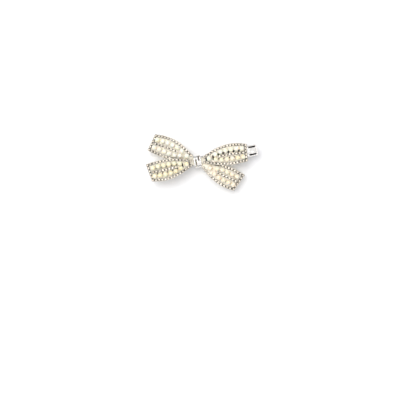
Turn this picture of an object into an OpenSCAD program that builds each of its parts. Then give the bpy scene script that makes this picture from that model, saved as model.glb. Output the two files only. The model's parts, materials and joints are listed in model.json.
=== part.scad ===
// Bow hair clip: two arched ribbons crossing at a knot, bordered with rhinestones and
// filled with pearls, carried on a sprung pinch clip. Millimetres, +X along the clip
// towards the thumb tabs, +Z up through the bow, origin under the knot on the flat
// underside of the lower jaw.

/* [Bow] */
// Angle of the over ribbon's right leaf from the clip's long axis, degrees
over_right_angle = -1.6; // [-10:0.1:10]
// Angle of the over ribbon's left leaf, degrees
over_left_angle = 181.6; // [170:0.1:190]
// Angle of the under ribbon's left leaf, degrees
under_left_angle = 147.5; // [130:0.1:165]
// Angle of the under ribbon's right leaf, degrees
under_right_angle = -36.8; // [-50:0.1:-20]
// Length of a leaf from the knot's centre to its end
leaf_length = 28.4; // [22:0.1:35]
// Half width of a leaf on its fuller side
full_half = 6.9; // [5:0.1:8]
// Half width of a leaf on its straighter side
slim_half = 5.3; // [4:0.1:7]
// Thickness of the ribbon's metal
ribbon_thick = 0.6; // [0.4:0.1:1]
// Radius of the over ribbon's arch, at its underside
over_arch_r = 30; // [24:1:60]
// Height of the over ribbon's underside at the top of its arch
over_arch_top = 10.2; // [9:0.1:12]
// Radius of the under ribbon's arch, at its underside
under_arch_r = 40; // [30:1:80]
// Height of the under ribbon's underside at the top of its arch
under_arch_top = 7.0; // [6:0.1:8]

/* [Stones and pearls] */
// Radius of a stone's cup
cup_r = 0.8; // [0.6:0.05:1]
// Height of a stone's cup
cup_height = 0.75; // [0.5:0.05:1]
// Radius of a stone at its girdle
stone_r = 0.7; // [0.5:0.05:0.9]
// Spacing of the stones along a row
stone_pitch = 1.72; // [1.65:0.01:2]
// Radius of a full-size pearl
pearl_r = 1.45; // [1.1:0.05:1.5]
// Spacing of the pearls along a lane
pearl_pitch = 2.95; // [2.85:0.05:3.2]

/* [Clip] */
// Thickness of the clip's sheet steel
sheet = 0.6; // [0.4:0.1:0.8]
// Width of the jaws in front of the hinge
jaw_width = 5.2; // [5:0.1:8]
// Width of the thumb tabs
tab_width = 6.4; // [5:0.1:8]
// Distance from the knot to the jaw's tip
jaw_front = 23.5; // [20:0.5:28]
// Distance from the knot to the upper tab's end
tab_end = 34.9; // [32:0.1:40]
// Distance from the knot to the hinge pin's axis
pin_x = 17; // [14:0.5:20]
// Height of the hinge pin's axis
pin_z = 2.3; // [2:0.1:3]
// Radius of the hinge pin
pin_r = 0.9; // [0.7:0.05:1.2]
// Height of the upper jaw's underside above the rest plane
jaw_gap = 4; // [3.5:0.1:5]
// Slope of the upper thumb tab, degrees
tab_slope = 11; // [8:0.5:14]

/* [Hidden] */
$fn = 48;
// Finer and coarser rounding
round_small = 24;
round_pearl = 32;
round_wire = 16;
round_coil = 64;
round_knot = 96;
round_arch = 180;
// Overlap of two blocks of one solid
joined = 0.5;
// Margin by which a cut passes a face
tiny = 0.02;
// Depth that cups and dishes are let into the ribbon, for their solder
seat = 0.05;

// Each leaf: angle, side its full edge lies on, end length of the full edge,
// end length of the slim edge, level (1 over, 0 under), radius of its larger recesses
OVER_RIGHT = [over_right_angle, 1, leaf_length + 0.8, leaf_length + 0.1, 1, 0.5];
OVER_LEFT = [over_left_angle, 1, leaf_length - 0.5, leaf_length + 0.7, 1, 0.34];
UNDER_LEFT = [under_left_angle, -1, leaf_length - 0.1, leaf_length + 0.6, 0, 0];
UNDER_RIGHT = [under_right_angle, -1, leaf_length - 2.2, leaf_length - 0.6, 0, 0];

// Leaf outline: half widths at the neck, where each edge is fullest, and at the end
neck_start = 2.2;
neck_half = 1.4;
neck_half_wide = 1.3;
neck_reach = 2.45;
neck_rise = 0.08;
full_peak = 19.5;
slim_peak = 20.5;
full_end = 5.5;
slim_end = 4.8;
outline_steps = 14;

// Arch of the under and the over ribbon: radius, height and distance of its top
arch_r = [under_arch_r, over_arch_r];
arch_top = [under_arch_top, over_arch_top];
arch_s = [14.2, 17.6];
shell_width = 3 * full_half;

// Stones: distance from the leaf's edge to the row, radii and heights of the cone
stone_inset = 0.85;
stone_top_r = 0.42;
stone_base_r = 0.3;
stone_seat = 0.45;
stone_crown = 0.3;
// First border stone's distance from the knot on the under and the over ribbon
first_stone = [4.9, 4.2];
middle_start = 13;
// Pearls: clearance over the ribbon and in the lane, and their glue dishes
pearl_lift = 0.15;
pearl_gap = 0.06;
dish_r = 0.95;
dish_height = 0.55;
lane_inner_end = 10.3;
neck_pearl_step = 3.55;
// Recesses in the over ribbon: depth, radius of the smaller ones and their shares of the
// lane's offset. Beside the single pearl: radius, and [steps inwards, reach] of each
recess_depth = 0.4;
small_recess_r = 0.3;
recess_shares = [0.58, -0.7];
neck_recess_r = 0.44;
neck_recess_rows = [[0.48, 0.8], [1.6, 0.45]];
// Air kept under the over ribbon, where stones and pearls below it are left off
hide_gap = 0.2;

// Mounting pad and knot band
pad_length = 10;
pad_width = 5;
pad_thick = 0.3;
plate_top = jaw_gap + sheet;
knot_half = 2.6;
knot_wall_half = 1.2;
knot_side = 3.7;
knot_open = 3.1;
knot_crown_r = 6;
knot_top = 7.8;
knot_bottom = plate_top + pad_thick;
knot_floor = knot_bottom + 0.24;
knot_ceiling = 6.92;
fold_r = 0.22;
fold_x = [-1.3, 0, 1.3];

// Jaws, ears, teeth and tabs
jaw_half = jaw_width / 2;
tab_half = tab_width / 2;
ear_gap = 0.1;
ear_out = jaw_half + ear_gap + sheet;
ear_r = 2;
bore_gap = 0.05;
lower_front = jaw_front - 0.9;
lower_end = 33.4;
lower_tab_start = 19.5;
tab_corner = 0.9;
flange_top = jaw_gap - 0.1;
tooth_depth = 0.9;
tooth_pitch = 1.6;
teeth = 18;
tooth_margin = 0.4;
lower_ear_r = 1.55;
lower_ear_root = 3;
lip_drop = 1.4;
tab_start = pin_x + 1;
tab_run = (tab_end - tab_start) / cos(tab_slope);
groove_y = 2.15;
groove_width = 0.75;
groove_length = 3.9;
groove_depth = 0.35;
groove_end = 0.9;
// Pin heads and spring
head_r = 1.4;
head_thick = 0.35;
wire_r = 0.22;
coil_in = 1;
coil_out = 1.48;
coil_turns = 6;
coil_pitch = 0.6;
turn_groove = 0.14;
leg_length = 10;
leg_root = 0.3;
leg_r = 1.23;
upper_leg_slope = 9.5;
lower_leg_slope = -1.6;

// ---------- leaf outline ----------
function ramp(s, peak) = sin(90 * min(1, (s - neck_start) / (peak - neck_start)));
function half_width(s, peak, wide, tip) =
    s < peak
    ? neck_half + (wide - neck_half) * ramp(s, peak)
    : wide - (wide - tip) * pow((s - peak) / (leaf_length - peak), 2);
function full_edge(s) = half_width(s, full_peak, full_half, full_end);
function slim_edge(s) = half_width(s, slim_peak, slim_half, slim_end);
function centre_line(s) = (full_edge(s) - slim_edge(s)) / 2;
function mean_half(s) = (full_edge(s) + slim_edge(s)) / 2;
function mean_length(leaf) = (leaf[2] + leaf[3]) / 2;

function leaf_outline(leaf) = concat(
    [for (i = [0:outline_steps])
        let (s = neck_start + (leaf[2] - neck_start) * i / outline_steps)
        [s, leaf[1] * full_edge(s)]],
    [for (i = [outline_steps:-1:0])
        let (s = neck_start + (leaf[3] - neck_start) * i / outline_steps)
        [s, -leaf[1] * slim_edge(s)]]
);

// ---------- arch ----------
function arch_centre(level) = arch_top[level] - arch_r[level];
function under_height(s, level) =
    arch_centre(level) + sqrt(pow(arch_r[level], 2) - pow(s - arch_s[level], 2));
function outer_r(level) = arch_r[level] + ribbon_thick;
function lean(s, level) = asin((s - arch_s[level]) / outer_r(level));

// Puts a child on the leaf's outer face at distance s from the knot and t off its axis
module on_leaf(leaf, s, t) {
    rotate([0, 0, leaf[0]])
        translate([arch_s[leaf[4]], leaf[1] * t, arch_centre(leaf[4])])
            rotate([0, lean(s, leaf[4]), 0])
                translate([0, 0, outer_r(leaf[4])])
                    children();
}

module arch_shell(level) {
    translate([arch_s[level], 0, arch_centre(level)])
        rotate([90, 0, 0])
            difference() {
                cylinder(h = shell_width, r = outer_r(level), center = true, $fn = round_arch);
                cylinder(h = 2 * shell_width, r = arch_r[level], center = true,
                         $fn = round_arch);
            }
}

module leaf_plate(leaf) {
    difference() {
        rotate([0, 0, leaf[0]])
            intersection() {
                linear_extrude(height = arch_top[1] + 2 * ribbon_thick)
                    polygon(leaf_outline(leaf));
                arch_shell(leaf[4]);
            }
        for (p = recesses(leaf))
            on_leaf(leaf, p[0], p[1])
                cylinder(h = 2 * recess_depth, r = p[2], center = true, $fn = round_small);
    }
}

module neck(level, angle) {
    height = under_height(neck_start, level) + neck_rise;
    rotate([0, 0, angle])
        translate([-neck_reach, -neck_half_wide, height])
            cube([2 * neck_reach, 2 * neck_half_wide, ribbon_thick - neck_rise]);
}

// ---------- what the over ribbon hides of the under one ----------
function along(leaf, x, y) = x * cos(leaf[0]) + y * sin(leaf[0]);
function across(leaf, x, y) = leaf[1] * (y * cos(leaf[0]) - x * sin(leaf[0]));
function covers(leaf, x, y, top, r) =
    let (s = along(leaf, x, y), t = across(leaf, x, y))
    s > 0
    && t < full_edge(max(s, neck_start)) + r
    && t > -slim_edge(max(s, neck_start)) - r
    && top > under_height(min(max(s - r, neck_start), leaf_length), 1) - hide_gap;
function hidden(leaf, s, t, rise, r) =
    let (
        x = s * cos(leaf[0]) - leaf[1] * t * sin(leaf[0]),
        y = s * sin(leaf[0]) + leaf[1] * t * cos(leaf[0]),
        top = under_height(s, leaf[4]) + ribbon_thick + rise
    )
    leaf[4] == 0 && (covers(OVER_RIGHT, x, y, top, r) || covers(OVER_LEFT, x, y, top, r));

// ---------- where stones and pearls sit: lists of [s, t, radius] ----------
function row_count(span) = max(1, floor(span / stone_pitch));
function edge_row(first, last, side) =
    let (n = row_count(last - first))
    [for (i = [0:n])
        let (s = first + (last - first) * i / n)
        [s, side > 0 ? full_edge(s) - stone_inset : stone_inset - slim_edge(s)]];
function end_row(from, to) =
    let (n = row_count(norm(to - from)))
    [for (i = [1:n - 1]) from + (to - from) * i / n];
function border_spots(leaf) =
    let (
        first = first_stone[leaf[4]],
        full = edge_row(first, leaf[2] - stone_inset, 1),
        slim = edge_row(first, leaf[3] - stone_inset, -1)
    )
    concat(full, slim, end_row(full[len(full) - 1], slim[len(slim) - 1]));
function middle_spots(leaf) =
    let (
        last = mean_length(leaf) - stone_inset - stone_pitch,
        n = row_count(last - middle_start)
    )
    [for (i = [0:n])
        let (s = middle_start + (last - middle_start) * i / n)
        [s, centre_line(s)]];
function seen_spots(leaf, spots) =
    [for (p = spots) if (!hidden(leaf, p[0], p[1], cup_height + stone_crown, cup_r)) p];

function lane_room(s) =
    mean_half(s) - 2 * stone_inset - (s < middle_start - stone_inset ? 0 : stone_inset);
function lane_offset(s) = mean_half(s) - 2 * stone_inset - lane_room(s) / 2;
function fitted_r(room) = min(pearl_r, room / 2 - pearl_gap);
function lane_places(leaf) =
    let (first = mean_length(leaf) - 2 * stone_inset - pearl_r - pearl_gap)
    [for (s = [first:-pearl_pitch:lane_inner_end]) s];
function lane_spots(leaf, side) =
    [for (s = lane_places(leaf))
        [s, centre_line(s) + side * lane_offset(s), fitted_r(lane_room(s))]];
function neck_spots(leaf) =
    let (s = min(lane_places(leaf)) - neck_pearl_step)
    [[s, centre_line(s), fitted_r(2 * mean_half(s) - 4 * stone_inset)]];
function seen_pearls(leaf, spots) =
    [for (p = spots) if (!hidden(leaf, p[0], p[1], pearl_lift + 2 * p[2], p[2])) p];
function outer_pearls(leaf) = seen_pearls(leaf, concat(lane_spots(leaf, 1), neck_spots(leaf)));
function inner_pearls(leaf) = seen_pearls(leaf, lane_spots(leaf, -1));

// Round recesses: between neighbouring pearls on both sides of the middle row, and a short
// row of three across the leaf on each side of the single pearl. Lists of [s, t, radius]
function lane_recesses(leaf, share, r) =
    let (places = lane_places(leaf))
    [for (i = [1:len(places) - 1])
        let (s = (places[i - 1] + places[i]) / 2)
        [s, centre_line(s) + share * lane_offset(s), r]];
function neck_recesses(leaf) =
    let (last = min(lane_places(leaf)))
    [for (row = neck_recess_rows, side = [-1, 0, 1])
        let (s = last - row[0] * neck_pearl_step)
        [s, centre_line(s) + side * row[1], neck_recess_r]];
function recesses(leaf) =
    leaf[5] == 0 ? [] : concat(
        lane_recesses(leaf, recess_shares[0], leaf[5]),
        lane_recesses(leaf, recess_shares[1], small_recess_r),
        neck_recesses(leaf)
    );

// ---------- one stone, one cup, one pearl, one dish ----------
module stone_cone() {
    translate([0, 0, cup_height - stone_seat])
        cylinder(h = stone_seat, r1 = stone_base_r, r2 = stone_r, $fn = round_small);
}

module cup() {
    difference() {
        translate([0, 0, -seat]) cylinder(h = cup_height + seat, r = cup_r, $fn = round_small);
        stone_cone();
    }
}

module stone() {
    stone_cone();
    translate([0, 0, cup_height])
        cylinder(h = stone_crown, r1 = stone_r, r2 = stone_top_r, $fn = round_small);
}

module pearl(r) {
    translate([0, 0, pearl_lift + r]) sphere(r = r, $fn = round_pearl);
}

module dish(r) {
    difference() {
        translate([0, 0, -seat])
            cylinder(h = dish_height + seat, r = dish_r * r / pearl_r, $fn = round_small);
        pearl(r);
    }
}

module cups(leaf, spots) {
    color([0.72, 0.7, 0.66])
        for (p = spots) on_leaf(leaf, p[0], p[1]) cup();
}

module stones(leaf, spots) {
    color([0.93, 0.95, 0.98])
        for (p = spots) on_leaf(leaf, p[0], p[1]) stone();
}

module pearls(leaf, spots) {
    color([0.96, 0.93, 0.84])
        for (p = spots) on_leaf(leaf, p[0], p[1]) pearl(p[2]);
}

module dishes(leaf, spots) {
    color([0.78, 0.76, 0.72])
        for (p = spots) on_leaf(leaf, p[0], p[1]) dish(p[2]);
}

// ---------- bow metalwork ----------
module ribbon_over() {
    color([0.82, 0.82, 0.82]) {
        leaf_plate(OVER_RIGHT);
        leaf_plate(OVER_LEFT);
        neck(1, 0);
    }
}

module ribbon_under() {
    color([0.8, 0.8, 0.8]) {
        leaf_plate(UNDER_LEFT);
        leaf_plate(UNDER_RIGHT);
        neck(0, (under_left_angle + under_right_angle - 180) / 2);
    }
}

module knot_profile() {
    difference() {
        intersection() {
            translate([0, knot_top - knot_crown_r]) circle(r = knot_crown_r, $fn = round_knot);
            translate([-knot_side, knot_bottom])
                square([2 * knot_side, knot_top - knot_bottom]);
        }
        translate([-knot_open, knot_floor])
            square([2 * knot_open, knot_ceiling - knot_floor]);
    }
}

module knot_band() {
    side_cut = knot_half - knot_wall_half;
    color([0.86, 0.86, 0.86])
        difference() {
            rotate([90, 0, 90])
                translate([0, 0, -knot_half])
                    linear_extrude(height = 2 * knot_half) knot_profile();
            // Openings at both ends let the ribbons fan out
            for (end = [-1, 1])
                translate([end * (knot_wall_half + side_cut / 2 + tiny), 0,
                           (knot_floor + knot_ceiling) / 2])
                    cube([side_cut + 2 * tiny, 3 * knot_side,
                          knot_ceiling - knot_floor], center = true);
            // Folds pressed round the crown
            for (x = fold_x)
                translate([x, 0, knot_top - knot_crown_r])
                    rotate([0, 90, 0])
                        rotate_extrude($fn = round_knot)
                            translate([knot_crown_r, 0]) circle(r = fold_r, $fn = round_wire);
        }
}

module mounting_pad() {
    color([0.75, 0.75, 0.74])
        translate([-pad_length / 2, -pad_width / 2, plate_top])
            cube([pad_length, pad_width, pad_thick]);
}

// ---------- pinch clip ----------
module flange_outline() {
    tooth_start = tooth_margin - lower_front;
    union() {
        polygon(concat(
            [[tooth_start, 0]],
            [for (i = [0:teeth - 1], k = [0, 1])
                [tooth_start + (i + k * 0.5) * tooth_pitch,
                 flange_top - (1 - k) * tooth_depth]],
            [[tooth_start + teeth * tooth_pitch, flange_top - tooth_depth],
             [pin_x - lower_ear_root, flange_top - tooth_depth],
             [pin_x, pin_z + lower_ear_r],
             [pin_x, 0]]
        ));
        translate([pin_x, pin_z]) circle(r = lower_ear_r);
        translate([pin_x, 0]) square([lower_ear_r, pin_z]);
    }
}

// Flat thumb tab with rounded corners at its end
module tab_plate(run) {
    translate([0, -tab_half, 0]) cube([run - tab_corner, tab_width, sheet]);
    translate([run - 2 * tab_corner, tab_corner - tab_half, 0])
        cube([2 * tab_corner, tab_width - 2 * tab_corner, sheet]);
    for (y = [tab_corner - tab_half, tab_half - tab_corner])
        translate([run - tab_corner, y, 0]) cylinder(h = sheet, r = tab_corner);
}

module lower_jaw() {
    color([0.8, 0.8, 0.8])
        difference() {
            union() {
                translate([-lower_front, -jaw_half, 0])
                    cube([lower_front + lower_tab_start + joined, jaw_width, sheet]);
                translate([lower_tab_start, 0, 0]) tab_plate(lower_end - lower_tab_start);
                for (y = [-jaw_half + sheet, jaw_half])
                    translate([0, y, 0])
                        rotate([90, 0, 0])
                            linear_extrude(height = sheet) flange_outline();
            }
            translate([pin_x, 0, pin_z])
                rotate([90, 0, 0]) cylinder(h = 3 * jaw_width, r = pin_r, center = true);
        }
}

module upper_ear() {
    difference() {
        union() {
            translate([pin_x, 0, pin_z]) rotate([90, 0, 0]) cylinder(h = sheet, r = ear_r);
            translate([pin_x - ear_r, -sheet, pin_z])
                cube([2 * ear_r, sheet, plate_top - pin_z]);
        }
        translate([pin_x, sheet, pin_z])
            rotate([90, 0, 0]) cylinder(h = 3 * sheet, r = pin_r + bore_gap);
    }
}

module upper_tab() {
    translate([tab_start, 0, jaw_gap])
        rotate([0, -tab_slope, 0])
            difference() {
                union() tab_plate(tab_run);
                for (side = [-1, 1])
                    translate([tab_run - groove_end - groove_length,
                               side * groove_y - groove_width / 2, sheet - groove_depth])
                        cube([groove_length, groove_width, sheet]);
            }
}

module upper_jaw() {
    tip = -jaw_front;
    color([0.82, 0.82, 0.82]) {
        translate([tip, -jaw_half, jaw_gap])
            cube([tab_start - tip, jaw_width, sheet]);
        // Lip that closes over the lower jaw's tip
        translate([tip, -jaw_half, jaw_gap - lip_drop])
            cube([sheet, jaw_width, lip_drop + sheet]);
        translate([pin_x - ear_r, -ear_out, jaw_gap])
            cube([2 * ear_r, 2 * ear_out, sheet]);
        translate([0, ear_out, 0]) upper_ear();
        translate([0, sheet - ear_out, 0]) upper_ear();
        upper_tab();
    }
}

module hinge_pin() {
    shank = ear_out + bore_gap;
    color([0.74, 0.74, 0.73])
        translate([pin_x, 0, pin_z])
            rotate([90, 0, 0]) {
                cylinder(h = 2 * shank, r = pin_r, center = true);
                for (side = [-1, 1])
                    translate([0, 0, side * (shank + head_thick / 2)])
                        cylinder(h = head_thick, r = head_r, center = true);
            }
}

// Close-wound coil: a sleeve with a groove between neighbouring turns
module coil() {
    width = coil_turns * coil_pitch;
    difference() {
        cylinder(h = width, r = coil_out, center = true, $fn = round_coil);
        cylinder(h = 2 * width, r = coil_in, center = true, $fn = round_coil);
        for (i = [1:coil_turns - 1])
            translate([0, 0, i * coil_pitch - width / 2])
                difference() {
                    cylinder(h = turn_groove, r = 2 * coil_out, center = true, $fn = round_coil);
                    cylinder(h = 2 * turn_groove, r = coil_out - turn_groove,
                             center = true, $fn = round_coil);
                }
    }
}

module spring_leg(slope, side) {
    rotate([0, -slope, 0])
        translate([-leg_root, side * (coil_turns - 1) * coil_pitch / 2, leg_r * side])
            rotate([0, 90, 0]) cylinder(h = leg_length + leg_root, r = wire_r, $fn = round_wire);
}

module torsion_spring() {
    color([0.7, 0.7, 0.7])
        translate([pin_x, 0, pin_z]) {
            rotate([90, 0, 0]) coil();
            spring_leg(upper_leg_slope, 1);
            spring_leg(lower_leg_slope, -1);
        }
}

// ---------- what each node draws ----------
lower_jaw();
hinge_pin();
torsion_spring();
upper_jaw();
mounting_pad();
knot_band();
ribbon_over();
ribbon_under();

for (item = [["over_right", OVER_RIGHT], ["over_left", OVER_LEFT],
             ["under_left", UNDER_LEFT], ["under_right", UNDER_RIGHT]]) {
    name = item[0];
    leaf = item[1];
    border = seen_spots(leaf, border_spots(leaf));
    middle = seen_spots(leaf, middle_spots(leaf));
    outer = outer_pearls(leaf);
    inner = inner_pearls(leaf);
    cups(leaf, border);
    stones(leaf, border);
    cups(leaf, middle);
    stones(leaf, middle);
    dishes(leaf, concat(outer, inner));
    pearls(leaf, outer);
    pearls(leaf, inner);
}
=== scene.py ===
"""Looks of the bow hair clip: cut rhinestones in clawed cups, lustrous pearls in petal
dishes, a folded knot and plated metal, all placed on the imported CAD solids."""

import json
import math
import random

import bmesh
import bpy
import numpy as np
from mathutils import Matrix, Vector

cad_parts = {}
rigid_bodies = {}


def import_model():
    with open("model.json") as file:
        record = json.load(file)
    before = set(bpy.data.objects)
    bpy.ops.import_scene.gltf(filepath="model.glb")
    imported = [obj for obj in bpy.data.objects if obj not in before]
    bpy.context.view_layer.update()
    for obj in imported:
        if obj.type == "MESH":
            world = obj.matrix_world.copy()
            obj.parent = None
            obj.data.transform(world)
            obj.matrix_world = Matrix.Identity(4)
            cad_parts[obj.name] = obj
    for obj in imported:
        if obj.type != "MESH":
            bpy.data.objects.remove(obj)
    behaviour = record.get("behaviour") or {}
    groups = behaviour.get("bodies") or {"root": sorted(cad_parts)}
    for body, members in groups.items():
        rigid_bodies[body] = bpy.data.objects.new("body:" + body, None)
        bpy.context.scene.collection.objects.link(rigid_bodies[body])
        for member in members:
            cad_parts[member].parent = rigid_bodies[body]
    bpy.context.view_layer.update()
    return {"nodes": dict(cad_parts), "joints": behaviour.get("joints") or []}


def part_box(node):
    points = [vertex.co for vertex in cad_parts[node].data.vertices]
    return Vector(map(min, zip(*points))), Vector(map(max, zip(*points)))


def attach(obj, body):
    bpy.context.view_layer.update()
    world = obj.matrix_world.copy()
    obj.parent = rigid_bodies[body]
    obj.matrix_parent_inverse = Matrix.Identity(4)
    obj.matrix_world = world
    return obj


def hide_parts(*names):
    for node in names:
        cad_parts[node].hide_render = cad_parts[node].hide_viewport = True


MM = 0.001
WELD = 0.0005 * MM  # CAD corners nearer than this to each other are one corner
LEAVES = ("over_right", "over_left", "under_left", "under_right")
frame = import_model()
nodes = frame["nodes"]
hinge = frame["joints"][0]
UPPER = hinge["child"]
LOWER = hinge["parent"]


# ---------- materials ----------
def socket_values(shader, values):
    """Sets the shader's own sockets by name."""
    for name, value in values.items():
        shader.inputs[name].default_value = value


def new_material(name, **values):
    """A Principled material; keyword names use _ for the spaces in socket names."""
    material = bpy.data.materials.new(name)
    material.use_nodes = True
    shader = material.node_tree.nodes["Principled BSDF"]
    socket_values(shader, {key.replace("_", " "): value for key, value in values.items()})
    return material, material.node_tree, shader


def noise(tree, scale, detail=4.0, roughness=0.55):
    """Noise in the object's own space, scale in features per millimetre."""
    place = tree.nodes.new("ShaderNodeTexCoord")
    texture = tree.nodes.new("ShaderNodeTexNoise")
    texture.inputs["Scale"].default_value = scale / MM
    texture.inputs["Detail"].default_value = detail
    texture.inputs["Roughness"].default_value = roughness
    tree.links.new(place.outputs["Object"], texture.inputs["Vector"])
    return texture.outputs["Fac"]


def colour_between(tree, factor, stops):
    """A colour ramp over factor; stops are (place, (r, g, b))."""
    ramp = tree.nodes.new("ShaderNodeValToRGB")
    while len(ramp.color_ramp.elements) < len(stops):
        ramp.color_ramp.elements.new(0.5)
    for element, (place, colour) in zip(ramp.color_ramp.elements, stops):
        element.position = place
        element.color = (*colour, 1.0)
    tree.links.new(factor, ramp.inputs["Fac"])
    return ramp.outputs["Color"]


def range_of(tree, factor, low, high):
    """Maps a 0 to 1 factor onto low to high."""
    node = tree.nodes.new("ShaderNodeMapRange")
    node.inputs["To Min"].default_value = low
    node.inputs["To Max"].default_value = high
    tree.links.new(factor, node.inputs["Value"])
    return node.outputs["Result"]


def bump(tree, shader, height, distance, strength=0.4):
    """Fine relief, distance in millimetres."""
    node = tree.nodes.new("ShaderNodeBump")
    node.inputs["Strength"].default_value = strength
    node.inputs["Distance"].default_value = distance * MM
    tree.links.new(height, node.inputs["Height"])
    tree.links.new(node.outputs["Normal"], shader.inputs["Normal"])


def plated_metal(name, light, dark, smooth, rough, grain=0.6, metallic=1.0):
    """Silver-tone plating: tone drifts between light and dark, with fine polishing marks."""
    material, tree, shader = new_material(name, Metallic=metallic)
    tone = colour_between(tree, noise(tree, grain), [(0.3, dark), (0.7, light)])
    tree.links.new(tone, shader.inputs["Base Color"])
    polish = range_of(tree, noise(tree, 3 * grain), smooth, rough)
    tree.links.new(polish, shader.inputs["Roughness"])
    bump(tree, shader, noise(tree, 8.0, detail=6.0), 0.01, 0.25)
    return material


def brushed_metal(name, light, dark, along="X"):
    """Steel with drawing marks running along X or Y."""
    drawn = 0.08
    material, tree, shader = new_material(name, Metallic=1.0)
    place = tree.nodes.new("ShaderNodeTexCoord")
    stretch = tree.nodes.new("ShaderNodeMapping")
    stretch.inputs["Scale"].default_value = (drawn, 1, 1) if along == "X" else (1, drawn, 1)
    marks = tree.nodes.new("ShaderNodeTexNoise")
    marks.inputs["Scale"].default_value = 9.0 / MM
    marks.inputs["Detail"].default_value = 5.0
    tree.links.new(place.outputs["Object"], stretch.inputs["Vector"])
    tree.links.new(stretch.outputs["Vector"], marks.inputs["Vector"])
    tone = colour_between(tree, marks.outputs["Fac"], [(0.3, dark), (0.7, light)])
    tree.links.new(tone, shader.inputs["Base Color"])
    polish = range_of(tree, marks.outputs["Fac"], 0.16, 0.34)
    tree.links.new(polish, shader.inputs["Roughness"])
    bump(tree, shader, marks.outputs["Fac"], 0.01, 0.3)
    return material


def pearl_material(name, body):
    """Ivory lustre: three close tones in soft clouds under a clear coat."""
    body = Vector(body)
    milk = Vector((0.96, 0.93, 0.87))
    deep = body * 0.97 - Vector((0, 0.01, 0.05))
    pale = body.lerp(milk, 0.4)
    material, tree, shader = new_material(
        name, Roughness=0.3, Coat_Weight=0.7, Coat_Roughness=0.06,
        Subsurface_Weight=0.8, Subsurface_Scale=1.5 * MM, Subsurface_Radius=(1.0, 0.85, 0.65),
        Sheen_Weight=0.15,
    )
    clouds = [(0.3, deep), (0.5, body), (0.7, pale)]
    tone = colour_between(tree, noise(tree, 0.28, detail=3.0), clouds)
    tree.links.new(tone, shader.inputs["Base Color"])
    bump(tree, shader, noise(tree, 1.6), 0.02, 0.12)
    return material


def crystal_material():
    """Clear cut glass."""
    material, tree, shader = new_material(
        "clear_crystal", Roughness=0.01, IOR=1.56, Transmission_Weight=1.0,
    )
    tone = colour_between(
        tree, noise(tree, 0.5), [(0.3, (1.0, 0.98, 0.95)), (0.7, (0.97, 0.98, 1.0))]
    )
    tree.links.new(tone, shader.inputs["Base Color"])
    return material


def foil_material():
    """Mirror foil behind a stone, seen through its crown."""
    material, tree, shader = new_material("stone_foil", Metallic=1.0, Roughness=0.08)
    tone = colour_between(
        tree, noise(tree, 0.45), [(0.35, (0.95, 0.9, 0.81)), (0.65, (1.0, 0.97, 0.91))]
    )
    tree.links.new(tone, shader.inputs["Base Color"])
    return material


def painted_shade_material():
    """Near-black painted shade in the small recesses with their countersinks, the tab's grooves
    and the saddles.
    """
    material, tree, shader = new_material("painted_shade_recess", Metallic=0.3, Roughness=0.6)
    tone = colour_between(
        tree, noise(tree, 1.5), [(0.3, (0.008, 0.006, 0.004)), (0.7, (0.03, 0.024, 0.018))]
    )
    tree.links.new(tone, shader.inputs["Base Color"])
    return material


# pearl colour by lane: own cream plus painted shade (deeper, yellower) and painted light
# (paler)
PEARL_TONES_WITH_SHADE = {
    "over_right_outer": (0.95, 0.89, 0.745),
    "over_right_inner": (0.95, 0.825, 0.61),
    "over_left_outer": (0.94, 0.815, 0.565),
    "over_left_inner": (0.94, 0.86, 0.63),
    "under_left_outer": (0.95, 0.89, 0.72),
    "under_left_inner": (0.95, 0.865, 0.745),
    "under_right_outer": (0.94, 0.8, 0.635),
    "under_right_inner": (0.94, 0.82, 0.645),
}
CRYSTAL = crystal_material()
FOIL = foil_material()
# the cups' and claws' deep tone is painted shade between the stones
CUP_SHADE = plated_metal("cup_plating_shade", (0.34, 0.31, 0.27), (0.16, 0.145, 0.125), 0.15, 0.35)
DISH = plated_metal("dish_plating", (0.93, 0.87, 0.73), (0.8, 0.73, 0.6), 0.25, 0.45)
RIBBON = plated_metal(
    "ribbon_plating", (0.99, 0.94, 0.81), (0.94, 0.87, 0.72), 0.35, 0.5, metallic=0.35
)
# near-black painted shade for recesses, countersinks, grooves and saddles
RECESS_SHADE = painted_shade_material()
KNOT = plated_metal("knot_polish", (0.97, 0.95, 0.91), (0.9, 0.87, 0.82), 0.12, 0.24, 0.3)
# dark crease tone: painted shade in the knot's creases
CREASE_SHADE = plated_metal("knot_crease_shade", (0.2, 0.17, 0.14), (0.09, 0.075, 0.06), 0.3, 0.45)
JAW = plated_metal("jaw_plating", (0.84, 0.82, 0.78), (0.74, 0.72, 0.68), 0.2, 0.32, 0.25)
PAD = plated_metal("solder_tin", (0.68, 0.68, 0.67), (0.5, 0.5, 0.49), 0.3, 0.5)
PIN = brushed_metal("pin_steel", (0.74, 0.74, 0.73), (0.52, 0.52, 0.51), along="Y")
SPRING = brushed_metal("spring_wire", (0.7, 0.7, 0.69), (0.45, 0.45, 0.44))


# ---------- reading the CAD solids ----------
class Seat:
    """One CAD solid: its middle, its axis (pointing out of the leaf) and its size."""

    def __init__(self, verts, faces):
        area = sum(face.calc_area() for face in faces)
        self.centre = sum(
            (face.calc_center_median() * face.calc_area() for face in faces), Vector()
        ) / area
        self.axis = round_axis(faces, self.centre)
        heights = [(v.co - self.centre).dot(self.axis) for v in verts]
        self.low = min(heights)
        self.height = max(heights) - self.low
        self.radius = max(
            (v.co - self.centre - self.axis * h).length for v, h in zip(verts, heights)
        )

    def matrix(self, turn=0.0):
        """Puts a part built on the origin, +Z up, on the solid's base."""
        upright = self.axis.to_track_quat("Z", "X").to_matrix().to_4x4()
        base = self.centre + self.axis * self.low
        return Matrix.Translation(base) @ upright @ Matrix.Rotation(turn, 4, "Z")


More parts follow.
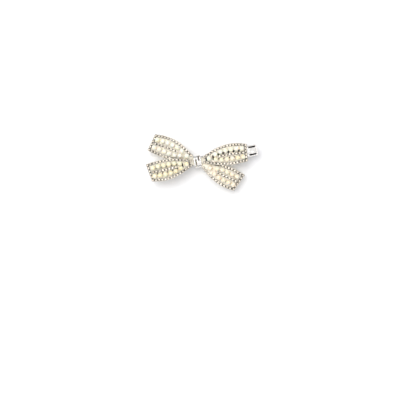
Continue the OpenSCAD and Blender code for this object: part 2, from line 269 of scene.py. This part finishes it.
def round_axis(faces, centre):
    """The axis of a solid of revolution: the direction its surface spreads differently in."""
    spread = np.zeros((3, 3))
    for face in faces:
        arm = np.array(face.calc_center_median() - centre)
        spread += face.calc_area() * np.outer(arm, arm)
    values, vectors = np.linalg.eigh(spread)
    odd = 0 if values[1] - values[0] > values[2] - values[1] else 2
    axis = Vector(vectors[:, odd]).normalized()
    return axis if axis.z > 0 else -axis


def seats(node):
    """Every separate solid of a CAD node, from left to right."""
    bm = bmesh.new()
    bm.from_mesh(nodes[node].data)
    bmesh.ops.remove_doubles(bm, verts=bm.verts, dist=WELD)
    found = []
    left = set(bm.verts)
    for start in bm.verts:
        if start not in left:
            continue
        island = {start}
        queue = [start]
        left.discard(start)
        while queue:
            for edge in queue.pop().link_edges:
                for v in edge.verts:
                    if v in left:
                        left.discard(v)
                        island.add(v)
                        queue.append(v)
        faces = {f for v in island for f in v.link_faces}
        found.append(Seat(list(island), list(faces)))
    bm.free()
    return sorted(found, key=lambda seat: (round(seat.centre.x, 6), round(seat.centre.y, 6)))


# ---------- building meshes ----------
def finish_piece(name, bm, materials, body, node, smooth=True):
    """Turns a bmesh into a piece that rides on a body and stands for a CAD node."""
    bmesh.ops.recalc_face_normals(bm, faces=bm.faces)
    mesh = bpy.data.meshes.new(name)
    bm.to_mesh(mesh)
    bm.free()
    mesh.polygons.foreach_set("use_smooth", [smooth] * len(mesh.polygons))
    for material in materials:
        mesh.materials.append(material)
    piece = bpy.data.objects.new(name, mesh)
    bpy.context.scene.collection.objects.link(piece)
    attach(piece, body)
    if node:
        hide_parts(node)
    return piece


def add_part(bm, part, matrix):
    """Adds one (points, faces) part; a face is (point numbers, material number)."""
    points, faces = part
    verts = [bm.verts.new(matrix @ Vector(p)) for p in points]
    for corners, material in faces:
        face = bm.faces.new([verts[i] for i in corners])
        face.material_index = material


def ring(radius, height, count, turn=0.0):
    """Points of a level circle."""
    step = 2 * math.pi / count
    return [
        (radius * math.cos(turn + i * step), radius * math.sin(turn + i * step), height)
        for i in range(count)
    ]


def skin(loops, count, material=0):
    """Quads between neighbouring closed loops, each of the same count of points."""
    faces = []
    for row in range(loops - 1):
        a = row * count
        b = a + count
        for i in range(count):
            j = (i + 1) % count
            faces.append(((a + i, a + j, b + j, b + i), material))
    return faces


def capped_skin(loops, count):
    """A skin closed at its first and last loop."""
    last = (loops - 1) * count
    bottom = tuple(range(count - 1, -1, -1))
    top = tuple(range(last, last + count))
    return skin(loops, count) + [(bottom, 0), (top, 0)]


def cut_stone(radius, height):
    """A round brilliant: table, star, kite and girdle facets over a foiled pavilion.

    The pavilion is steep enough to throw light back up, so its point reaches below the
    CAD stone, into the cup.
    """
    table_r = 0.56 * radius
    girdle_high = 0.72 * height
    girdle_low = 0.67 * height
    culet = girdle_low - radius * math.tan(math.radians(41))
    eighth = math.pi / 4
    star_r = 0.82 * radius
    slope = (star_r * math.cos(eighth / 2) - table_r) / (radius - table_r)
    star_z = height - slope * (height - girdle_high)
    points = (
        ring(table_r, height, 8)
        + ring(star_r, star_z, 8, eighth / 2)
        + ring(radius, girdle_high, 16)
        + ring(radius, girdle_low, 16)
        + [(0.0, 0.0, culet)]
    )
    star, high, low, point = 8, 16, 32, 48
    faces = [(tuple(range(8)), 0)]
    for i in range(8):
        j = (i + 1) % 8
        g0, g1, g2 = 2 * i, 2 * i + 1, (2 * i + 2) % 16
        before = (i - 1) % 8
        faces.append(((i, star + i, j), 0))
        faces.append(((i, star + before, high + g0, star + i), 0))
        faces.append(((star + i, high + g0, high + g1), 0))
        faces.append(((star + i, high + g1, high + g2), 0))
        faces.append(((high + g0, low + g0, low + g1, high + g1), 0))
        faces.append(((high + g1, low + g1, low + g2, high + g2), 0))
        faces.append(((low + g0, low + g2, low + g1), 1))
        faces.append(((low + g0, point, low + g2), 1))
    return points, faces


def claw(radius, rim, tip):
    """One claw: a tapering strip bent in over the stone's edge."""
    stations = [  # distance out, height, half the strip's width
        (radius, rim - 0.28 * MM, 0.15 * MM),
        (radius, rim + 0.02 * MM, 0.13 * MM),
        (0.9 * radius, tip - 0.05 * MM, 0.11 * MM),
        (0.66 * radius, tip + 0.03 * MM, 0.07 * MM),
    ]
    thick = 0.09 * MM
    sunk = thick * 0.7
    points = []
    for x, z, half in stations:
        points += [(x, -half, z), (x, half, z), (x - thick, half, z - sunk),
                   (x - thick, -half, z - sunk)]
    return points, capped_skin(len(stations), 4)


def stone_cup(radius, height):
    """A stamped cup: waisted wall, rolled rim and a funnel that the stone sits in."""
    count = 20
    wall = [(0.86, 0.0), (0.97, 0.1), (0.9, 0.35), (0.93, 0.7), (1.0, 0.88)]
    rim_and_funnel = [(0.98, 0.97), (0.93, 1.0), (0.89, 0.95), (0.84, 0.8), (0.1, 0.06)]
    profile = wall + rim_and_funnel
    points = []
    for share, lift in profile:
        points += ring(share * radius, lift * height, count)
    return points, capped_skin(len(profile), count)


def petal_dish(radius, height):
    """A dish with a waved petal rim, cupped to the pearl."""
    count, petals, swell = 32, 6, 0.09
    levels = [(0.6, 0.0), (0.95, 0.12), (1.0, 0.6), (1.0, 1.0), (0.9, 0.98), (0.6, 0.5)]
    points = []
    for share, lift in levels:
        for i in range(count):
            angle = 2 * math.pi * i / count
            wave = 1 + swell * lift * math.cos(petals * angle)
            points.append((share * radius * wave * math.cos(angle),
                           share * radius * wave * math.sin(angle), lift * height))
    return points, capped_skin(len(levels), count)


def pearl(radius, seed):
    """A slightly uneven bead with a small drill dimple at the pole that faces down."""
    lump = random.Random(seed)
    waves = [(lump.uniform(0, 6.3), lump.uniform(-1, 1) * 0.006) for _ in range(3)]
    rows, count = 14, 24
    plain, dimple = 0.994, 0.93
    points = []
    for row in range(1, rows):
        polar = math.pi * row / rows
        for i in range(count):
            angle = 2 * math.pi * i / count
            uneven = sum(a * math.cos((k + 2) * angle + p) for k, (p, a) in enumerate(waves))
            r = radius * (plain + uneven * math.sin(polar))
            points.append((r * math.sin(polar) * math.cos(angle),
                           r * math.sin(polar) * math.sin(angle), -r * math.cos(polar)))
    faces = skin(rows - 1, count)
    bottom = len(points)
    points.append((0.0, 0.0, -dimple * radius))
    points.append((0.0, 0.0, plain * radius))
    last = (rows - 2) * count
    for i in range(count):
        j = (i + 1) % count
        faces.append(((bottom, j, i), 0))
        faces.append(((last + i, last + j, bottom + 1), 0))
    return points, faces


# ---------- bow pieces ----------
def stones_for(node, seed):
    """Cut stones for a CAD row of plain cones, each turned its own way."""
    spin = random.Random(seed)
    bm = bmesh.new()
    for seat in seats(node):
        part = cut_stone(seat.radius, seat.height)
        add_part(bm, part, seat.matrix(spin.uniform(0, math.pi / 4)))
    finish_piece(node + "_cut", bm, [CRYSTAL, FOIL], UPPER, node, smooth=False)


def saddle(length, width, height):
    """The link between two cups of a chain, along X and dipped in its middle."""
    # the saddle takes material 1, near-black painted shade between the cups
    dark = 1
    across = [(-0.5, 0.04), (-0.5, 0.7), (-0.3, 1.0), (0.3, 1.0), (0.5, 0.7), (0.5, 0.04)]
    stations = ((-0.5, 1.0), (0.0, 0.82), (0.5, 1.0))
    points = []
    for x, dip in stations:
        points += [(x * length, y * width, dip * z * height) for y, z in across]
    ends = [((5, 4, 3, 2, 1, 0), dark), ((12, 13, 14, 15, 16, 17), dark)]
    return points, ends + skin(len(stations), len(across), dark)


def chain_links(cups):
    """Pairs of cups that are each other's near neighbours in a row."""
    near = {}
    for i, cup in enumerate(cups):
        others = sorted(
            (k for k in range(len(cups)) if k != i),
            key=lambda k: (cups[k].centre - cup.centre).length,
        )
        near[i] = others[:2]
    return [(i, k) for i in near for k in near[i] if i < k and i in near[k]]


def join_cups(bm, a, b):
    """Adds the saddle between two cups, if they stand close enough to be one chain.

    Its ends bite into the cups' walls. All sizes are shares of the first cup's.
    """
    covered, widest_gap, width, height = 1.7, 0.8, 1.05, 0.6
    run = b.centre + b.axis * b.low - a.centre - a.axis * a.low
    gap = run.length - covered * a.radius
    if gap > widest_gap * a.radius:
        return
    along = run.normalized()
    up = (a.axis + b.axis).normalized()
    turned = Matrix((along, up.cross(along), up)).transposed().to_4x4()
    middle = a.centre + a.axis * a.low + run / 2
    part = saddle(gap, width * a.radius, height * a.height)
    add_part(bm, part, Matrix.Translation(middle) @ turned)


def cups_for(node, stones_node):
    """Clawed cups in chains; the claws reach the edge of the stones that the cups hold."""
    claw_reach = 0.18 * seats(stones_node)[0].height
    cups = seats(node)
    bm = bmesh.new()
    for cup in cups:
        matrix = cup.matrix()
        add_part(bm, stone_cup(cup.radius, cup.height), matrix)
        for quarter in range(4):
            turned = matrix @ Matrix.Rotation((quarter + 0.5) * math.pi / 2, 4, "Z")
            part = claw(0.97 * cup.radius, cup.height, cup.height + claw_reach)
            add_part(bm, part, turned)
    for i, k in chain_links(cups):
        join_cups(bm, cups[i], cups[k])
    finish_piece(node + "_clawed", bm, [CUP_SHADE, RECESS_SHADE], UPPER, node)


def pearls_for(lane, seed):
    """Uneven beads for a CAD lane of plain balls, in the lane's own tone."""
    node = lane + "_pearls"
    turn = random.Random(seed)
    bm = bmesh.new()
    for i, seat in enumerate(seats(node)):
        spun = Matrix.Rotation(turn.uniform(0, 2 * math.pi), 4, "Z")
        add_part(bm, pearl(seat.radius, seed * 100 + i), Matrix.Translation(seat.centre) @ spun)
    material = pearl_material(lane + "_lustre", PEARL_TONES_WITH_SHADE[lane])
    finish_piece(node + "_beads", bm, [material], UPPER, node)


def dishes_for(node):
    """Petal dishes for the CAD row of plain dishes."""
    bm = bmesh.new()
    for seat in seats(node):
        add_part(bm, petal_dish(seat.radius, seat.height), seat.matrix())
    finish_piece(node + "_petals", bm, [DISH], UPPER, node)


INNER = 2 / 3  # the two creases between the folds lie inside this share of the band


def crease_depth(along, across):
    """How far a band point sits in a crease, 0 to 1.

    along runs from -1 at the band's left edge to 1 at its right edge, across from -1 at
    its near foot to 1 at its far foot. Creases lie a third of the way out and at both
    edges. The left inner one is deepest just on the near side of the top, the right one
    on the far side.
    """
    faint, reach = 0.35, 0.5
    fold = (0.5 + 0.5 * math.cos(3 * math.pi * (along + 1))) ** 2
    if abs(along) < INNER:
        deepest = 0.42 if along > 0 else -0.15
        fold *= faint + (1 - faint) * max(0.0, 1 - ((across - deepest) / reach) ** 2)
    return fold


def knot_point(along, across, low, high):
    """A point of the band's outer face, within the box from low to high."""
    crease, hem, hem_starts, crown = 0.6 * MM, 0.25 * MM, 0.82, 0.97
    angle = across * math.radians(88)
    gather = 0.6 + 0.4 * abs(across)
    waist = 1 - 0.12 * abs(across) ** 1.5
    edge = max(0.0, abs(along) - hem_starts) / (1 - hem_starts)
    drop = crease * gather * crease_depth(along, across) + hem * edge * edge
    rise = (high.z - low.z) * crown - drop
    return (
        along * waist * (high.x - low.x) / 2,
        ((high.y - low.y) / 2 - drop) * math.sin(angle),
        low.z + rise * max(0.0, math.cos(angle)) ** 0.55,
    )


def knot_band():
    """A band gathered over the ribbons: three folds parted by sharp creases in painted shade.
    """
    columns, rows = 121, 97
    shade_from = 0.6
    low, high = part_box("knot_band")
    bm = bmesh.new()
    grid = []
    for r in range(rows):
        across = -1 + 2 * r / (rows - 1)
        row = []
        for c in range(columns):
            along = -1 + 2 * c / (columns - 1)
            row.append(bm.verts.new(knot_point(along, across, low, high)))
        grid.append(row)
    for r in range(rows - 1):
        across = -1 + (2 * r + 1) / (rows - 1)
        near, far = grid[r], grid[r + 1]
        for c in range(columns - 1):
            along = -1 + (2 * c + 1) / (columns - 1)
            face = bm.faces.new((near[c], near[c + 1], far[c + 1], far[c]))
            # faces deep in the inner creases take the painted shade
            dark = abs(along) < INNER and crease_depth(along, across) > shade_from
            face.material_index = int(dark)
    piece = finish_piece("knot_folds", bm, [KNOT, CREASE_SHADE], UPPER, "knot_band")
    shell = piece.modifiers.new("thickness", "SOLIDIFY")
    shell.thickness = 0.5 * MM
    shell.offset = -1.0
    round_off = piece.modifiers.new("smooth", "SUBSURF")
    round_off.levels = 1
    round_off.render_levels = 1


# ---------- spring ----------
def wire(name, points, radius, body, node):
    """A round wire through points. Each ring's turn carries on from the last one's, so
    the mesh has no twist."""
    count = 12
    bm = bmesh.new()
    rings = []
    before = turn = None
    for i, point in enumerate(points):
        ahead = points[min(i + 1, len(points) - 1)] - points[max(i - 1, 0)]
        if turn is None:
            turn = ahead.to_track_quat("Z", "Y")
        else:
            turn = before.rotation_difference(ahead) @ turn
        before = ahead
        rings.append([bm.verts.new(point + turn @ Vector(p)) for p in ring(radius, 0, count)])
    for a, b in zip(rings, rings[1:]):
        for i in range(count):
            j = (i + 1) % count
            bm.faces.new((a[i], a[j], b[j], b[i]))
    bm.faces.new(rings[0])
    bm.faces.new(rings[-1])
    return finish_piece(name, bm, [SPRING], body, node)


def spring():
    """The coil with its lower leg stays on the lower jaw; the upper leg goes with the tab.

    The coil starts under the pin. Its last half turn is flat and ends a little past the
    root of the upper leg, so that no gap shows there when the clip opens.
    """
    radius = 0.22 * MM
    coil_r = 1.24 * MM
    reach = 9.6 * MM
    turns, steps_a_turn = 7, 24
    flat_steps = 13
    low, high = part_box("torsion_spring")
    pin = Vector(hinge["pos_m"])
    half = (high.y - low.y) / 2 - radius
    steps = steps_a_turn * turns
    under = pin + Vector((0, -half, -coil_r))
    points = [
        under + Vector((reach, 0, -0.25 * MM)),
        under + Vector((reach / 2, 0, -0.13 * MM)),
    ]
    for i in range(steps + flat_steps + 1):
        angle = -math.pi / 2 - 2 * math.pi * i / steps_a_turn
        y = -half + 2 * half * min(i, steps) / steps
        points.append(pin + Vector((coil_r * math.cos(angle), y, coil_r * math.sin(angle))))
    wire("spring_coil", points, radius, LOWER, "torsion_spring")
    slope = math.radians(9.5)
    start = pin + Vector((-math.sin(slope), 0, math.cos(slope))) * coil_r + Vector((0, half, 0))
    run = Vector((math.cos(slope), 0, math.sin(slope)))
    upper = [start + run * (reach * i / 6) for i in range(7)]
    leg = wire("spring_upper_leg", upper, radius, UPPER, None)


# ---------- sheet metal parts ----------
def beside_notches(bm):
    """Wall edges close to the inward notches where two recesses run together."""
    steep, sharp, near = 0.7, math.radians(25), 0.27 * MM
    upright = []
    for edge in bm.edges:
        if {face.material_index for face in edge.link_faces} == {1}:
            rise = edge.verts[1].co - edge.verts[0].co
            if abs(rise.z) > steep * rise.length:
                upright.append(edge)
    middles = {edge: (edge.verts[0].co + edge.verts[1].co) / 2 for edge in upright}
    notches = [e for e in upright if e.is_convex and e.calc_face_angle(0) > sharp]
    return [
        edge for edge in upright if edge not in notches
        and any((middles[edge] - middles[notch]).length < near for notch in notches)
    ]


def eased(node, name, body, materials, choose, width, countersink=0.0):
    """A CAD solid with its sharp edges eased.

    choose(face) gives a face's material. Where materials meet, at the rims of recesses on the
    tab's side of the knot, a countersink of the given width is cut and takes the painted shade.
    Widths are in millimetres.
    """
    flat, sharp = math.radians(0.05), math.radians(35)
    bm = bmesh.new()
    bm.from_mesh(nodes[node].data)
    bmesh.ops.remove_doubles(bm, verts=bm.verts, dist=WELD)
    bmesh.ops.dissolve_limit(
        bm, angle_limit=flat, verts=bm.verts, edges=bm.edges, delimit={"NORMAL"}
    )
    for face in bm.faces:
        face.material_index = choose(face)
    bmesh.ops.dissolve_edges(bm, edges=beside_notches(bm), use_verts=True)
    weight = bm.edges.layers.float.new("bevel_weight_edge")
    rims = []
    for edge in bm.edges:
        kinds = {face.material_index for face in edge.link_faces}
        if len(kinds) > 1:
            if edge.verts[0].co.x > 0:
                rims.append(edge)
        elif kinds == {0} and edge.calc_face_angle(0) > sharp:
            edge[weight] = 1.0
    # countersinks take material 1, the painted shade
    if rims:
        bmesh.ops.bevel(
            bm, geom=rims, offset=countersink * MM, segments=1, profile=0.5,
            affect="EDGES", material=1, clamp_overlap=False,
        )
    piece = finish_piece(name, bm, materials, body, node)
    ease = piece.modifiers.new("ease", "BEVEL")
    ease.width = width * MM
    ease.segments = 2
    ease.limit_method = "WEIGHT"
    ease.harden_normals = True
    return piece


def one_finish(face):
    """Every face takes the first material."""
    return 0


def over_ribbon_finish(face):
    """Recess faces end within the sheet's thickness, measured in from the arched face."""
    arch_r, arch_top, arch_s, sheet = 30 * MM, 10.2 * MM, 17.6 * MM, 0.6 * MM
    under_knot = 3 * MM
    shallow, deep = 0.3 * MM, 0.45 * MM
    right_leaf, left_leaf = math.radians(-1.6), math.radians(181.6)
    depths = []
    for v in face.verts:
        angle = right_leaf if v.co.x > 0 else left_leaf
        s = v.co.x * math.cos(angle) + v.co.y * math.sin(angle)
        if s < under_knot:
            return 0
        depths.append(arch_r + sheet - math.hypot(s - arch_s, v.co.z - arch_top + arch_r))
    # recess faces get material 1, the near-black painted shade
    return int(shallow < max(depths) < deep)


def upper_jaw_finish(face):
    """Groove faces lie within the sheet, measured down from the thumb tab's top."""
    tab_x, tab_z, slope, sheet = 18 * MM, 4 * MM, math.radians(11), 0.6 * MM
    before_grooves = tab_x + 2 * MM
    shallow, deep = 0.25 * MM, 0.45 * MM
    depths = []
    for v in face.verts:
        if v.co.x < before_grooves:
            return 0
        rise = (v.co.z - tab_z) * math.cos(slope) - (v.co.x - tab_x) * math.sin(slope)
        depths.append(sheet - rise)
    # groove faces get material 1, the near-black painted shade
    return int(shallow < max(depths) < deep)


def metalwork():
    """Ribbons, jaws, pad and pin with eased edges."""
    eased("ribbon_over", "over_ribbon_sheet", UPPER, [RIBBON, RECESS_SHADE], over_ribbon_finish, 0.09,
          countersink=0.18)
    eased("ribbon_under", "under_ribbon_sheet", UPPER, [RIBBON], one_finish, 0.09)
    eased("upper_jaw", "upper_jaw_sheet", UPPER, [JAW, RECESS_SHADE], upper_jaw_finish, 0.09,
          countersink=0.1)
    eased("lower_jaw", "lower_jaw_sheet", LOWER, [JAW], one_finish, 0.07)
    eased("mounting_pad", "solder_pad", UPPER, [PAD], one_finish, 0.08)
    eased("hinge_pin", "riveted_pin", LOWER, [PIN], one_finish, 0.12)


def build():
    """Every piece of the clip. Stones draw from one seed a leaf, pearls from one a lane."""
    for number, leaf in enumerate(LEAVES):
        for row in ("border", "middle"):
            stones_for(f"{leaf}_{row}_stones", 10 * number + 6)
            cups_for(f"{leaf}_{row}_cups", f"{leaf}_{row}_stones")
        pearls_for(f"{leaf}_outer", number + 1)
        pearls_for(f"{leaf}_inner", number + 11)
        dishes_for(f"{leaf}_pearl_dishes")
    knot_band()
    spring()
    metalwork()


# ---------- floor, light and camera ----------
def floor():
    """A plain pale floor, just clear of the clip."""
    half = 1.5
    bm = bmesh.new()
    corners = [(-half, -half, 0), (half, -half, 0), (half, half, 0), (-half, half, 0)]
    bm.faces.new([bm.verts.new(c) for c in corners])
    mesh = bpy.data.meshes.new("floor")
    bm.to_mesh(mesh)
    bm.free()
    material, tree, shader = new_material("pale_floor", Roughness=0.9)
    tone = colour_between(
        tree, noise(tree, 0.02), [(0.3, (0.93, 0.93, 0.93)), (0.7, (0.95, 0.95, 0.95))]
    )
    tree.links.new(tone, shader.inputs["Base Color"])
    mesh.materials.append(material)
    piece = bpy.data.objects.new("floor", mesh)
    piece.location.z = -0.02 * MM
    bpy.context.scene.collection.objects.link(piece)


def area_light(name, place, size, power, mirrored=True):
    """A square soft light aimed at the clip; mirrored says whether reflections show it."""
    data = bpy.data.lights.new(name, "AREA")
    data.size = size
    data.energy = power
    light = bpy.data.objects.new(name, data)
    light.location = place
    light.rotation_euler = (-place).to_track_quat("-Z", "Y").to_euler()
    light.visible_glossy = mirrored
    light.visible_transmission = mirrored
    bpy.context.scene.collection.objects.link(light)
    return light


def surround():
    """Studio surround: pale overhead, darker towards the horizon."""
    world = bpy.data.worlds.new("surround")
    world.use_nodes = True
    tree = world.node_tree
    place = tree.nodes.new("ShaderNodeTexCoord")
    split = tree.nodes.new("ShaderNodeSeparateXYZ")
    tree.links.new(place.outputs["Generated"], split.inputs["Vector"])
    shade = colour_between(
        tree, split.outputs["Z"],
        [(0.05, (0.42, 0.42, 0.43)), (0.45, (0.58, 0.58, 0.6)), (0.95, (0.68, 0.68, 0.71))],
    )
    background = tree.nodes["Background"]
    tree.links.new(shade, background.inputs["Color"])
    background.inputs["Strength"].default_value = 0.88
    bpy.context.scene.world = world


def lights(right, up):
    """Three kinds of lamp, and the surround.

    The key, to the picture's upper left, makes the shadow and shows in no reflection. The
    wide card overhead is what the metal reflects. The small glints light no surface: only
    reflections show them, in the stones' facets.
    """
    area_light("key", -0.3 * right + 0.3 * up + Vector((0, 0, 1.0)), 0.7, 7.0, mirrored=False)
    area_light("card", Vector((0, 0, 1.2)), 2.4, 7.2)
    glints, first_way, distance, size, power = 7, 0.6, 1.1, 0.12, 0.16
    for number in range(glints):
        way = first_way + number * 2 * math.pi / glints
        lean = math.radians(14 + 11 * (number % 3))
        place = Vector((math.cos(way) * math.sin(lean), math.sin(way) * math.sin(lean),
                        math.cos(lean)))
        lamp = area_light(f"glint_{number}", distance * place, size, power)
        lamp.visible_diffuse = False
    surround()


def camera():
    """Straight above. The clip lies turned in the frame, up and left of its middle."""
    turn = math.radians(11)
    right = Vector((math.cos(turn), -math.sin(turn), 0))
    up = Vector((math.sin(turn), math.cos(turn), 0))
    frame_width = 0.231
    distance = 0.9
    knot_right, knot_up = -0.00144, 0.0222
    middle = -knot_right * right - knot_up * up
    data = bpy.data.cameras.new("camera")
    data.sensor_width = 36.0
    data.lens = data.sensor_width * distance / frame_width
    data.clip_end = 10.0
    item = bpy.data.objects.new("camera", data)
    turned = Matrix((right, up, Vector((0, 0, 1)))).transposed().to_4x4()
    item.matrix_world = Matrix.Translation(middle + Vector((0, 0, distance))) @ turned
    bpy.context.scene.collection.objects.link(item)
    bpy.context.scene.camera = item
    return right, up


build()
floor()
lights(*camera())
bpy.context.scene.view_settings.view_transform = "Standard"
